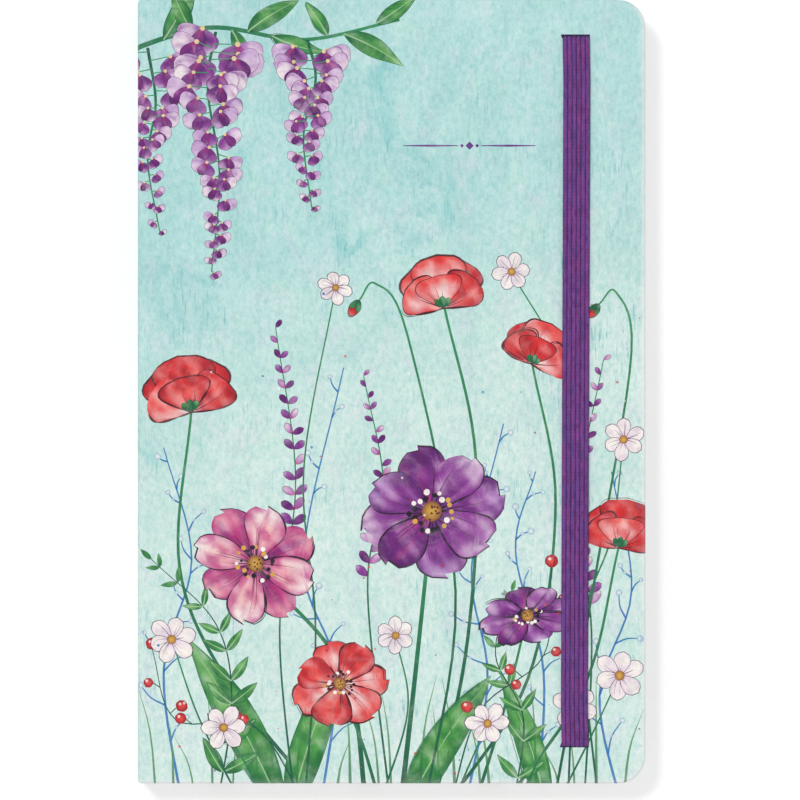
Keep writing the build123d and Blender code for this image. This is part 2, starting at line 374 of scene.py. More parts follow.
def cup_flower(art, base, r, lean):
    """A bowl-shaped flower seen from the side, opening towards lean degrees."""
    a = math.radians(lean)
    for off, length, width in (
        (-0.5, 1.02, 1.0), (0.5, 1.0, 1.0), (0.0, 1.06, 1.12),
        (-0.92, 0.86, 0.86), (0.9, 0.84, 0.88), (0.1, 0.66, 0.98),
    ):
        art.petal(
            base, a + off, r * length, r * width, art.rng.choice(REDS), peak=0.7, fullness=0.42,
            bend=0.05 * off, ink=INK_RED, ink_w=0.45, veins=4, n=19, ripple=0.1,
        )
    for off in (-0.7, 0.0, 0.7):
        art.petal(base, a + off, r * 0.24, r * 0.13, SEPAL, ink=STEM, ink_w=0.16, veins=0, n=9)


def bud(art, path, r):
    """A closed, nodding bud at the end of its own stem."""
    art.stem(path, 0.7)
    line = curve(path, 12)
    a = heading(line, len(line) - 1)
    art.petal(line[-1], a, r * 2.2, r * 1.3, (RED_DARK, RED, CORAL, RED_DARK), peak=0.5, ink=INK_RED, n=13)
    for off in (-0.35, 0.35):
        art.petal(line[-1], a + off, r * 1.4, r * 0.7, SEPAL, ink=STEM, ink_w=0.16, veins=1, n=11)


def small_flower(art, path, r, turn):
    """A small white flower at the end of its own thin stem."""
    art.stem(path, 0.55)
    tones = (mix(LILAC, CREAM, 0.3), CREAM, CREAM, mix(CREAM, LILAC, 0.35))
    for k in range(SMALL_PETALS):
        a = math.radians(turn) + 2 * math.pi * k / SMALL_PETALS + art.rng.uniform(-0.1, 0.1)
        art.petal(
            path[-1], a, r * art.rng.uniform(0.9, 1.08), r * 0.66, tones, peak=0.62, fullness=0.5,
            ink=mix(INK, VIOLET, 0.3), ink_w=0.26, veins=2, n=11,
        )
    art.dot(path[-1], r * 0.2, OCHRE, 1.0, mix(OCHRE, INK_RED, 0.5))


def hanging_cluster(art, path, size, count):
    """Florets left and right along a drooping stalk, smaller towards its tip."""
    rng = art.rng
    line = curve(path, 40)
    art.stroke(line, 0.8, 0.3, STEM, 1.0, STEM_LIGHT)
    for _, t, i, side in places(line, count, 0.05):
        s = size * (1.0 - 0.72 * t) * rng.uniform(0.88, 1.12)
        aside = side * s * rng.uniform(0.3, 0.95) * (1.1 - 0.5 * t)
        q = line[i] + np.array((aside, rng.uniform(-0.4, 0.4) * s))
        art.stroke([line[i], q], 0.3, 0.2, STEM_LIGHT)
        lean = -math.pi / 2 + side * rng.uniform(0.15, 0.8)
        top = mix(LILAC, CREAM, rng.random() * 0.8)
        deep = mix(VIOLET, VIOLET_DEEP, rng.random())
        for off, length, width, tones in (
            (0.75, 1.0, 0.95, (deep, top, mix(top, CREAM, 0.4), LILAC)),
            (-0.65, 0.95, 0.9, (VIOLET_DEEP, deep, top, VIOLET)),
            (0.0, 0.9, 0.55, (MAGENTA, deep, VIOLET_DEEP, deep)),
        ):
            a = lean + off * side
            art.petal(q, a, s * length, s * width, tones, peak=0.62, ink_w=0.16, veins=0, n=9)
        art.dot(q, s * 0.1, mix(OCHRE, CREAM, 0.5), 1.0, n=6)


def spike(art, path, size, count):
    """Small florets up a straight stem."""
    line = curve(path, 30)
    art.stroke(line, 0.55, 0.25, STEM, 1.0, STEM_LIGHT)
    for k, t, i, side in places(line, count, 0.38):
        s = size * (1.25 - 0.75 * t)
        a = math.pi / 2 - side * art.rng.uniform(0.5, 1.15)
        tones = SPIKE_TONES[k % len(SPIKE_TONES)]
        art.petal(line[i], a, s, s * 0.55, tones, peak=0.55, ink_w=0.14, veins=0, n=8)


def sprig(art, path, twigs, length):
    """A thin blue twig with pale buds."""
    rng = art.rng
    line = curve(path, 24)
    art.stroke(line, SPRIG_W, SPRIG_W * 0.45, SPRIG, 0.9)
    for _, t, i, side in places(line, twigs, 0.2, 0.98):
        a = heading(line, i) + side * rng.uniform(0.5, 1.0)
        reach = length * rng.uniform(0.6, 1.15) * (1.15 - 0.6 * t)
        end = line[i] + reach * turned(a)[:, 0]
        middle = (line[i] + end) / 2 + reach * 0.1 * turned(a)[:, 1]
        art.stroke(curve([line[i], middle, end], 6), SPRIG_W * 0.7, SPRIG_W * 0.35, SPRIG, 0.9)
        art.dot(end, rng.uniform(0.55, 0.95), CREAM, 0.95, mix(CREAM, SPRIG, 0.45), n=9)
        if rng.random() < 0.5:
            art.dot(middle, rng.uniform(0.35, 0.6), CREAM, 0.9, mix(CREAM, SPRIG, 0.5), n=8)


def fern(art, path, pairs, length):
    line = curve(path, 24)
    art.stroke(line, 0.5, 0.2, STEM)
    for _, t, i, _ in places(line, pairs, 0.14, 0.98):
        a = math.degrees(heading(line, i))
        s = length * (1.1 - 0.75 * t)
        for side in (-1, 1):
            art.leaf(line[i], a + side * art.rng.uniform(43, 57), s, s * 0.34, -0.08 * side, s > 5)
    art.leaf(line[-1], a, length * 0.4, length * 0.14, rib=False)


def berries(art, path, count, r):
    line = curve(path, 24)
    art.stroke(line, 0.45, 0.2, STEM)
    for k, _, i, side in places(line, count, 0.35):
        aside = 0 if k == count - 1 else side * r * 2.1
        q = line[i] + np.array((aside, r * art.rng.uniform(0.4, 1.5)))
        art.stroke([line[i], (line[i] + q) / 2 + np.array((0, 0.4)), q], 0.3, 0.2, STEM)
        art.dot(q, r * art.rng.uniform(0.85, 1.1), CORAL, 1.0, RED_DARK, n=16)
        art.dot(q + np.array((-0.3, 0.35)) * r, r * 0.26, CREAM, 0.85, n=8)


def grass(art, left, right, count):
    rng = art.rng
    for k in range(count):
        x = left + (right - left) * (k + rng.uniform(-0.3, 0.3)) / count
        tall = rng.uniform(17, 37)
        lean = rng.uniform(-6, 6)
        blade = curve(grow(x, (x + lean * 0.3, GROUND + tall * 0.6), (x + lean, GROUND + tall)), 8)
        art.stroke(blade, rng.uniform(0.5, 1.0), 0.08, LEAF_DARK, 0.85, LEAF)


def title_rule(art, centre, length):
    """A plain ornamental line."""
    x, y = centre
    for side in (-1, 1):
        line = [(x + side * 2.9, y), (x + side * (length / 4 + 1.5), y), (x + side * length / 2, y)]
        art.stroke(line, 0.2, 0.2, RULE_PURPLE, 1.0, belly=0.35)
    for off, r in ((-1.9, 0.5), (0.0, 1.05), (1.9, 0.5)):
        diamond = [(x + off + r, y), (x + off, y + r), (x + off - r, y), (x + off, y - r)]
        art.add(diamond, lambda p: (RULE_PURPLE, 1.0))


def hanging_spray(art):
    """A leafy branch along the head, from the back cover over the spine, with three drooping clusters."""
    branch = [(-140, 106), (-116, 88), (-90, 80), (-70, 84), (-46, 91), (-22, 88), (2, 93)]
    art.stroke(curve(branch, 60), 2.0, 0.7, STEM, 1.0, STEM_LIGHT)
    repeat(
        art, Print.leaf,
        ((-57, 88), 55, 17, 5.2, 0.15), ((-50, 90), 120, 12, 4.2, -0.1), ((-36, 90), 40, 15, 5.0, -0.15),
        ((-30, 89), -28, 14, 4.4, 0.2), ((-12, 89.5), -20, 17, 5.0, -0.15), ((-4, 92), 30, 13, 4.0, 0.1),
        ((-16, 89), 118, 10, 3.6, 0.1), ((-66, 85), -150, 12, 4.2, 0.1), ((-40, 90.5), -60, 12, 4.0, -0.1),
        ((-100, 82), 130, 14, 4.6, 0.1), ((-92, 80), -120, 15, 5.0, 0.1), ((-84, 81), 50, 12, 4.0, 0.1),
    )
    repeat(
        art, hanging_cluster,
        ([(-61, 86), (-59, 72), (-61, 58), (-58, 40)], 5.6, 24),
        ([(-44, 90), (-46, 76), (-43, 54), (-45, 30)], 7.2, 34),
        ([(-21, 88), (-19, 78), (-22, 64), (-20, 46)], 6.0, 28),
    )


def meadow(art):
    """Flowers rising from the front cover's tail, in front of the spray at its head."""
    repeat(
        art, sprig,
        (grow(18, (24, -72), (20, -44), (28, -8)), 13, 9),
        (grow(-52, (-57, -70), (-50, -42), (-57, -14)), 12, 8),
        (grow(-18, (-14, -70), (-22, -42), (-12, 6)), 14, 8),
        (grow(58, (52, -76), (60, -50), (55, -20)), 11, 8),
        (grow(36, (38, -70), (31, -40), (36, -20)), 10, 7),
    )
    hanging_spray(art)
    repeat(
        art, Print.stem,
        (grow(-6, (-12, -70), (-34, -44)), 1.3), (grow(2, (6, -70), (10, -32)), 1.4),
        (grow(10, (19, -62), (21, -16), (13, 22)), 1.0), (grow(12, (34, -72), (41, -28), (35, 8)), 0.9),
        (grow(26, (48, -74), (57, -38)), 0.9), (grow(-14, (-40, -74), (-53, -44), (-50, -4)), 1.0),
        (grow(-2, (-8, -86), (-14, -74)), 0.9), (grow(20, (28, -80), (34, -56)), 0.9),
    )
    repeat(
        art, Print.leaf,
        ((-27, GROUND), 112, 51, 10, 0.12), ((-25.5, GROUND), 78, 43, 9, -0.12),
        ((3, GROUND), 66, 41, 9, -0.15), ((39, GROUND), 100, 39, 7, 0.15),
    )
    grass(art, -60, 62, 24)
    fern(art, grow(-44, (-40, -78), (-44, -58), (-60, -42)), 9, 10)
    fern(art, grow(30, (33, -82), (26, -66), (30, -50)), 8, 8)
    spike(art, grow(-24, (-28, -60), (-24, -22), (-29, 16)), 5.0, 36)
    spike(art, grow(48, (50, -60), (46, -30), (53, 8)), 4.6, 32)
    spike(art, grow(0, (-6, -50), (-2, -24), (-7, 4)), 4.2, 26)
    berries(art, grow(14, (22, -80), (38, -66), (40, -44)), 7, 1.5)
    berries(art, grow(-20, (-34, -84), (-54, -82), (-60, -64)), 6, 1.4)
    bud(art, grow(8, (16, -50), (4, 14), (-4, 27), (-8, 23)), 2.3)
    bud(art, grow(40, (52, -40), (60, 10), (56, 25), (52, 22)), 2.1)
    repeat(
        art, small_flower,
        (grow(52, (48, -60), (55, -36), (58, -12)), 5.4, 25),
        (grow(44, (46, -40), (43, 4), (30, 30)), 5.2, 12),
        (grow(-22, (-19, -60), (-22, -20), (-14, 26)), 4.6, 40),
    )
    repeat(
        art, cup_flower,
        ((13, 21), 12.5, 98), ((35, 7), 10.5, 64), ((57, -39), 11.5, 82), ((-50, -5), 13.5, 102),
    )
    repeat(
        art, open_flower,
        ((34, -56), 12.0, VIOLETS, 20, 8, (10, 0.62)),
        ((10, -30), 19.5, VIOLETS, 12, 8, (20, 0.86)),
        ((-34, -43), 16.5, MAGENTAS, 30, 8, (-30, 0.9)),
        ((-13, -73), 12.5, [REDS[2], REDS[1]], 5, 7, (10, 0.9), INK_RED, 0.74),
    )
    repeat(
        art, small_flower,
        (grow(30, (38, -90), (46, -79)), 6.0, 40), (grow(40, (50, -86), (57, -71)), 6.6, 20),
        (grow(14, (20, -92), (24, -83)), 5.6, 0), (grow(-36, (-48, -82), (-55, -62)), 6.2, 15),
        (grow(-4, (4, -80), (1, -61)), 5.2, 30), (grow(-30, (-36, -94), (-42, -84)), 5.8, 5),
    )
    for _ in range(70):
        speck = (art.rng.uniform(-60, 62), -98 + 125 * art.rng.random() ** 1.4)
        r = art.rng.uniform(0.12, 0.4)
        art.dot(speck, r, art.rng.choice((VIOLET, CORAL, CREAM, SPRIG, RED)), 0.75, n=7)


def back_plants(art):
    """Low plants along the back cover's tail."""
    sprig(art, grow(-113, (-109, -80), (-115, -62)), 8, 7)
    sprig(art, grow(-179, (-185, -76), (-179, -56)), 9, 7)
    repeat(
        art, Print.leaf,
        ((-96.5, GROUND), 110, 33, 7, 0.1), ((-138.5, GROUND), 76, 29, 6.5, -0.1),
        ((-165, GROUND), 106, 31, 6.5, 0.1),
    )
    grass(art, -204, -82, 16)
    fern(art, grow(-149, (-145, -84), (-151, -70), (-147, -56)), 8, 8)
    spike(art, grow(-127, (-123, -76), (-127, -54)), 4.2, 20)
    repeat(
        art, small_flower,
        (grow(-119, (-121, -86), (-117, -76)), 5.6, 10), (grow(-157, (-161, -88), (-159, -78)), 5.0, 30),
        (grow(-173, (-191, -88), (-195, -74)), 5.8, 0),
    )


def cover_design():
    art = Print(PRINT_SEED)
    meadow(art)
    back_plants(art)
    title_rule(art, (19.5, 61.5), 33.0)
    return art.regions


def mirrored(regions, axis):
    """The same print on a sheet that is seen from behind: a point at u lies at axis - u."""
    def flip(p):
        return p * (-1, 1) + (axis, 0)

    return [(flip(points)[::-1], lambda p, shade=shade: shade(flip(p))) for points, shade in regions]


# Folding the flat paper round the boards
BEND_ARC = RIM_R * math.pi / 2
INNER_ARC = INNER_RIM_R * math.pi / 2
FLAT_LINES = [-1.4, -0.5, 0.0]
CORNER_STEPS = 12
# Pale paper at the edges: partly rubbing, partly painted light on the edges that face away from the sun
WEAR_AND_LIGHT_BEFORE = 0.9
WEAR_AND_LIGHT_RISE = 2.1
WEAR_AND_LIGHT_MOST = 0.95
WEAR_AND_LIGHT_FADE = 0.55
WEAR_AND_LIGHT_FADE_REACH = 1.2
WEAR_AND_LIGHT_EVEN = 0.5
WEAR_AND_LIGHT_TO_SIDES = 0.75


def bend(run, depth, stack):
    """Paper folded round an edge: how far out and how far down it lies, run past the flat face."""
    side = stack - RIM_R - INNER_RIM_R
    a = np.clip(run / RIM_R, 0, math.pi / 2)
    straight = np.clip(run - BEND_ARC, 0, side)
    b = np.clip((run - BEND_ARC - side) / INNER_RIM_R, 0, math.pi / 2)
    back = np.maximum(run - BEND_ARC - side - INNER_ARC, 0)
    outer, inner = RIM_R - depth, INNER_RIM_R - depth
    out = outer * np.sin(a) - inner * (1 - np.cos(b)) - back
    return out, RIM_R - outer * np.cos(a) + straight + inner * np.sin(b)


def fold_lines(stack, turn):
    """Distances past the flat face at which the paper bends, and where it ends."""
    side = stack - RIM_R - INNER_RIM_R
    lines = FLAT_LINES + [BEND_ARC * k / 4 for k in (1, 2, 3, 4)]
    lines += [BEND_ARC + side] + [BEND_ARC + side + INNER_ARC * k / 2 for k in (1, 2)]
    return lines, BEND_ARC + side + INNER_ARC + turn


def past_cover(points):
    """How far flat points are past a cover's flat face, measured from which feet and along which ways."""
    x = np.minimum(points[:, 0], X_FORE - CORNER_R)
    y = np.clip(points[:, 1], CORNER_R - Y_HEAD, Y_HEAD - CORNER_R)
    foot = np.column_stack([x, y])
    away = np.linalg.norm(points - foot, axis=1)
    return away - (CORNER_R - RIM_R), foot, (points - foot) / np.maximum(away, TINY)[:, None]


def cover_fold(points, depth, front):
    run, foot, way = past_cover(points)
    out, down = bend(run, depth, COVER_STACK)
    place = foot + way * (CORNER_R - RIM_R + np.minimum(run, 0) + out)[:, None]
    return np.column_stack([place, BOOK_T - down if front else down])


def spine_fold(points, depth, stack):
    u, v = points.T
    out, down = bend(np.abs(v) - (Y_HEAD - RIM_R), depth, stack)
    y = np.sign(v) * (np.minimum(np.abs(v), Y_HEAD - RIM_R) + out)
    a = np.clip((LIP_LEFT - u) / JOINT_R, 0, math.pi / 2)
    straight = np.clip(U_FRONT_JOINT - u, 0, BOOK_T - 2 * JOINT_R)
    b = np.clip((U_REAR_JOINT - u) / JOINT_R, 0, math.pi / 2)
    r = JOINT_R - down
    x = LIP_LEFT - r * (np.sin(a) + np.cos(b) - 1)
    return np.column_stack([x, y, BOOK_T - JOINT_R + r * (np.cos(a) - np.sin(b)) - straight])


def edge_wear_and_painted_light(run):
    """How much pale paper shows, from rubbing and as painted light: most where it bends round an edge."""
    rising = smooth((run + WEAR_AND_LIGHT_BEFORE) / WEAR_AND_LIGHT_RISE)
    fading = WEAR_AND_LIGHT_MOST - WEAR_AND_LIGHT_FADE * smooth((run - BEND_ARC) / WEAR_AND_LIGHT_FADE_REACH)
    return np.where(run < BEND_ARC, rising, fading)


def cover_wear_and_painted_light(points):
    """The fore edge and the tail are rubbed, and are lightened with painted light where they face away from
    the sun; the head is not.
    """
    run, _, way = past_cover(points)
    return edge_wear_and_painted_light(run) * np.clip(WEAR_AND_LIGHT_EVEN + WEAR_AND_LIGHT_TO_SIDES * (way[:, 0] - way[:, 1]), 0, 1)


def spine_wear_and_painted_light(points):
    # Pale paper at the tail only, from rubbing and as painted light on the side away from the sun
    return edge_wear_and_painted_light(np.abs(points[:, 1]) - (Y_HEAD - RIM_R)) * (points[:, 1] < 0)


def cover_ring(run):
    """The line at a distance past a cover's flat face, open on the spine side."""
    r = CORNER_R - RIM_R + run
    cx, cy = X_FORE - CORNER_R, Y_HEAD - CORNER_R
    points = [(LIP_LEFT, -cy - r)]
    for start, middle in ((-math.pi / 2, -cy), (0.0, cy)):
        for a in quarter(CORNER_STEPS):
            points.append((cx + r * math.cos(start + a), middle + r * math.sin(start + a)))
    return points + [(LIP_LEFT, cy + r)]


def inside(points, outline):
    """Which of the points lie inside an outline."""
    x, y = points[:, 0], points[:, 1]
    hit = np.zeros(len(points), bool)
    for (ax, ay), (bx, by) in zip(outline, np.roll(outline, -1, axis=0)):
        if ay != by:
            hit ^= ((ay > y) != (by > y)) & (x < (bx - ax) * (y - ay) / (by - ay) + ax)
    return hit


def painted(points, owners, shades):
    """Colours and cover at points, each with the list of the outlines that hold it, lowest first."""
    colour = np.zeros((len(points), 3))
    cover = np.zeros(len(points))
    members = [[] for _ in shades]
    for k, own in enumerate(owners):
        for r in own:
            members[r].append(k)
    for shade, ids in zip(shades, members):
        if ids:
            c, a = shade(points[ids])
            whole = a + cover[ids] * (1 - a)
            colour[ids] = mix(colour[ids], c, a / whole)
            cover[ids] = whole
    return np.column_stack([linear(colour), cover])


SHADE_STEP = 1.0
SHADE_ROW = 0.87
SHADE_LEAST = 1.6
CUT_TOLERANCE = 1e-5
PAPER_SHARP = 38
MAP_MARGIN = 1.0
MAP_ASIDE = 0.67


def inner_points(regions, low, high):
    """Points inside the larger painted outlines, so that their colour can change across them."""
    rows = np.arange(low[1], high[1], SHADE_STEP * SHADE_ROW)
    columns = np.arange(low[0], high[0], SHADE_STEP)
    points = np.array([(x + (j % 2) * SHADE_STEP / 2, y) for j, y in enumerate(rows) for x in columns])
    keep = np.zeros(len(points), bool)
    for outline, _ in regions:
        a, b = outline.min(0), outline.max(0)
        if min(b - a) > SHADE_LEAST * SHADE_STEP:
            near = np.flatnonzero(((points > a) & (points < b)).all(1))
            keep[near[inside(points[near], outline)]] = True
    return points[keep]


def paper_sheet(name, node, body, outline, folds, holes, regions, fold, wear_and_painted_light, turn=1):
    """Printed paper with thickness. Painted outlines are cut into its flat pattern, which is then folded.
    turn is -1 for a sheet that is seen from behind."""
    verts, edges, faces = [], [], []

    def put(points):
        first = len(verts)
        verts.extend(Vector((float(x), float(y))) for x, y in points)
        return list(range(first, len(verts)))

    low, high = np.min(outline, 0), np.max(outline, 0)
    regions = [r for r in regions if (r[0].max(0) > low).all() and (r[0].min(0) < high).all()]
    faces.append(put(outline))
    faces.extend(put(hole) for hole in holes)
    for line in folds:
        ids = put(line)
        edges.extend(zip(ids, ids[1:]))
    first_region = len(faces)
    faces.extend(put(points) for points, _ in regions)
    put(inner_points(regions, low, high))
    flat, _, cells, _, _, owners = delaunay_2d_cdt(verts, edges, faces, 0, CUT_TOLERANCE, True)
    flat = np.array([p[:] for p in flat])
    tris, print_of = [], []
    for cell, own in zip(cells, owners):
        if 0 in own and not any(1 <= k < first_region for k in own):
            tris.append(tuple(cell)[::turn])
            print_of.append(tuple(sorted(k - first_region for k in own if k >= first_region)))
    sides = {(f[k], f[k - 2]) for f in tris for k in range(3)}
    border = [(a, b) for a, b in sides if (b, a) not in sides]

    # The inner face is cut from the same border points, without the print
    rim = sorted({i for edge in border for i in edge})
    place = {old: new for new, old in enumerate(rim)}
    verts = [Vector(flat[i]) for i in rim]
    edges = [(place[a], place[b]) for a, b in border]
    for line in folds:
        ids = put(line[1:-1])
        edges.extend(zip(ids, ids[1:]))
    under, _, cells, source, _, _ = delaunay_2d_cdt(verts, edges, [], 0, CUT_TOLERANCE, True)
    under = np.array([p[:] for p in under])
    centres = np.array([under[list(cell)].mean(0) for cell in cells])
    kept = inside(centres, np.array(outline))
    for hole in holes:
        kept &= ~inside(centres, np.array(hole))

    used = sorted({i for f in tris for i in f})
    index = {old: new for new, old in enumerate(used)}
    twin = {old: len(used) + new for new, olds in enumerate(source) for old in olds}
    polys = [tuple(index[i] for i in f) for f in tris]
    polys += [tuple(len(used) + i for i in cell)[::-turn] for cell, k in zip(cells, kept) if k]
    polys += [(index[b], index[a], twin[place[a]], twin[place[b]]) for a, b in border]
    coords = np.concatenate([fold(flat[used], 0.0), fold(under, PAPER_T)]) * MM
    mesh = new_mesh(name, coords.tolist(), polys)
    # Pale rim paper at each point, from rubbing and as painted light, for the material
    worn_and_lit = np.concatenate([wear_and_painted_light(flat[used]), wear_and_painted_light(under)]).astype(np.float32)
    mesh.attributes.new("WearAndPaintedLight", "FLOAT", "POINT").data.foreach_set("value", worn_and_lit)

    # Each triangle's corners are coloured by the outlines that hold the triangle
    kinds = {}
    corners = [kinds.setdefault((i, own), len(kinds)) for f, own in zip(tris, print_of) for i in f]
    ids, owners = zip(*kinds)
    colours = np.zeros((len(mesh.loops), 4), np.float32)
    colours[: len(corners)] = painted(flat[list(ids)], owners, [shade for _, shade in regions])[corners]
    mesh.color_attributes.new("Print", "FLOAT_COLOR", "CORNER").data.foreach_set("color", colours.ravel())

    # The flat pattern is also the sheet's texture map, with the inner face beside it at half size
    scale = 1 / (high[1] - low[1] + 2 * MAP_MARGIN)
    outer = (flat - low + MAP_MARGIN) * scale
    inner = (under - low + MAP_MARGIN) * scale / 2 + (MAP_ASIDE, 0)
    spots = [outer[i] for f in tris for i in f]
    spots += [inner[i] for cell, k in zip(cells, kept) if k for i in cell[::-turn]]
    for a, b in border:
        x, y = outer[b] - outer[a]
        out = np.array((y, -x)) * turn * PAPER_T * scale / max(math.hypot(x, y), TINY)
        spots += [outer[b], outer[a], outer[a] + out, outer[b] + out]
    mesh.uv_layers.new(name="OFBake").data.foreach_set("uv", np.array(spots, np.float32).ravel())
    return dress(shown(name, mesh, PAPER_SHARP), PRINTED, [node], body)


def placed(name, data):
    ob = bpy.data.objects.new(name, data)
    bpy.context.scene.collection.objects.link(ob)
    return ob


def new_mesh(name, verts, faces):
    mesh = bpy.data.meshes.new(name)
    mesh.from_pydata(verts, [], faces)
    return mesh


def tube(rows, n):
    """Faces between neighbouring rows of n points that go round a section."""
    corners = [(k, (k + 1) % n, n + (k + 1) % n, n + k) for k in range(n)]
    return [tuple(row * n + i for i in face) for row in range(rows - 1) for face in corners]


def shown(name, mesh, sharp_degrees=None):
    """A new object with this mesh; smooth, with edges sharper than the angle kept."""
    if sharp_degrees is not None:
        mesh.shade_smooth()
        mesh.set_sharp_from_angle(angle=math.radians(sharp_degrees))
    return placed(name, mesh)


# Node materials
class Mat:
    """A node material with short ways to make and join its nodes."""

    def __init__(self, name, roughness, **surface):
        self.material = bpy.data.materials.new(name)
        self.material.use_nodes = True
        self.tree = self.material.node_tree
        self.bsdf = self.tree.nodes["Principled BSDF"]
        for key, value in {"Roughness": roughness, **surface}.items():
            self.feed(self.bsdf.inputs[key.replace("_", " ")], value)

    def node(self, kind, inputs=(), **settings):
        n = self.tree.nodes.new(kind)
        for key, value in settings.items():
            setattr(n, key, value)
        for key, value in dict(inputs).items():
            self.feed(n.inputs[key], value)
        return n

    def feed(self, socket, value):
        if isinstance(value, bpy.types.NodeSocket):
            self.tree.links.new(value, socket)
        elif isinstance(value, tuple) and len(value) == 3 and socket.type == "RGBA":
            socket.default_value = (*value, 1.0)
        else:
            socket.default_value = value

    def coords(self, scale=(1.0, 1.0, 1.0)):
        place = self.node("ShaderNodeTexCoord").outputs["Object"]
        return self.node("ShaderNodeMapping", {"Vector": place, "Scale": scale}).outputs["Vector"]

    def noise(self, vector, scale, detail=4.0, roughness=0.55, distortion=0.0):
        return self.node("ShaderNodeTexNoise", {
            "Vector": vector, "Scale": scale, "Detail": detail, "Roughness": roughness,
            "Distortion": distortion,
        }).outputs["Fac"]

    def ramp(self, value, *stops):
        n = self.node("ShaderNodeValToRGB", {"Fac": value})
        marks = n.color_ramp.elements
        while len(marks) < len(stops):
            marks.new(0.5)
        for mark, (position, colour) in zip(marks, stops):
            mark.position = position
            mark.color = (*colour, 1.0)
        return n.outputs["Color"]

    def shades(self, value, low, *colours):
        """Three colours, the first up to low and the last from 1 - low on."""
        return self.ramp(value, *zip((low, 0.5, 1 - low), colours))

    def patches(self, value, low, high, most=1.0):
        """0 below low, rising to most above high."""
        return self.ramp(value, (low, (0, 0, 0)), (high, (most, most, most)))

    def mix(self, factor, a, b, mode="MIX"):
        n = self.node("ShaderNodeMix", data_type="RGBA", blend_type=mode)
        for socket, value in ((0, factor), (6, a), (7, b)):
            self.feed(n.inputs[socket], value)
        return n.outputs[2]

    def math(self, operation, a, b=0.0):
        return self.node("ShaderNodeMath", {0: a, 1: b}, operation=operation).outputs[0]

    def times(self, a, b):
        return self.math("MULTIPLY", a, b)

    def attribute(self, name, output="Fac"):
        return self.node("ShaderNodeAttribute", attribute_name=name).outputs[output]

    def axes(self, vector):
        return self.node("ShaderNodeSeparateXYZ", {0: vector}).outputs

    def bump(self, height, strength, distance):
        n = self.node("ShaderNodeBump", {"Height": height, "Strength": strength, "Distance": distance})
        self.feed(self.bsdf.inputs["Normal"], n.outputs["Normal"])

    def finish(self, colour):
        self.feed(self.bsdf.inputs["Base Color"], colour)
        return self.material


def printed_paper():
    """Aqua wash, paler towards the tail, with soft marks, scratches and fine grain, under the print, and
    pale rims from rubbing and painted light.
    """
    m = Mat("printed_paper", 0.55, Specular_IOR_Level=0.25)
    plain = m.coords()
    upright = m.coords((1.0, 0.6, 1.0))
    wander = m.noise(upright, 70, 5, 0.62, 0.4)
    head = m.shades(wander, 0.3, lin(166, 212, 210), lin(178, 220, 218), lin(189, 226, 223))
    tail = m.shades(wander, 0.3, lin(195, 226, 220), lin(208, 232, 226), lin(216, 236, 230))
    at = m.axes(plain)
    slope = m.math("SUBTRACT", at["Y"], m.times(at["X"], 0.35))
    down = m.node("ShaderNodeMapRange", {"Value": slope, "From Min": 0.06, "From Max": -0.025},
                  interpolation_type="SMOOTHSTEP").outputs["Result"]
    paper = m.mix(down, head, tail)
    paper = m.mix(m.patches(m.noise(plain, 140, 4, 0.6), 0.53, 0.7, 0.35), paper, lin(192, 231, 214))
    paper = m.mix(m.patches(m.noise(upright, 190, 4, 0.6), 0.5, 0.7, 0.4), paper, lin(210, 216, 225))
    smudge = m.patches(m.noise(upright, 38, 6, 0.7, 0.8), 0.57, 0.7)
    faint = m.math("SUBTRACT", m.times(smudge, 0.85), m.times(down, 0.6))
    paper = m.mix(faint, paper, lin(134, 203, 203))
    scratch = m.patches(m.noise(m.coords((1.0, 0.09, 1.0)), 1900, 3, 0.6), 0.56, 0.66)
    rough_spots = m.math("ADD", m.patches(m.noise(plain, 60, 4, 0.6), 0.5, 0.62, 0.6), smudge)
    paper = m.mix(m.times(scratch, rough_spots), paper, lin(132, 192, 195))
    fleck = m.noise(upright, 1050, 4, 0.72)
    grain = m.shades(fleck, 0.3, (0.74, 0.87, 0.87), (0.99, 1, 1), (1.22, 1.09, 1.09))
    paper = m.mix(1.0, paper, grain, "MULTIPLY")
    colour = m.attribute("Print", "Color")
    wash = m.patches(m.noise(plain, 170, 6, 0.7, 0.6), 0.5, 0.74, 0.14)
    colour = m.mix(wash, colour, lin(252, 246, 238))
    pigment = m.ramp(m.noise(plain, 330, 6, 0.72), (0.34, (0.62, 0.6, 0.66)), (0.56, (1, 1, 1)))
    colour = m.mix(0.55, colour, m.mix(1.0, colour, pigment, "MULTIPLY"))
    # Pale rims: rubbing, and painted light on the edges that face away from the sun
    uneven = m.ramp(fleck, (0.2, (0.6, 0.6, 0.6)), (0.6, (0.9, 0.9, 0.9)))
    rub_and_painted_light = m.times(m.attribute("WearAndPaintedLight"), uneven)
    paper = m.mix(rub_and_painted_light, paper, lin(244, 245, 244))
    both = m.mix(m.attribute("Print", "Alpha"), paper, colour)
    m.bump(m.math("ADD", fleck, m.noise(plain, 1500, 2)), 0.1, 0.00004)
    # A little of the pale rim, rubbing and painted light, also over the print
    return m.finish(m.mix(m.times(rub_and_painted_light, 0.16), both, lin(244, 245, 244)))


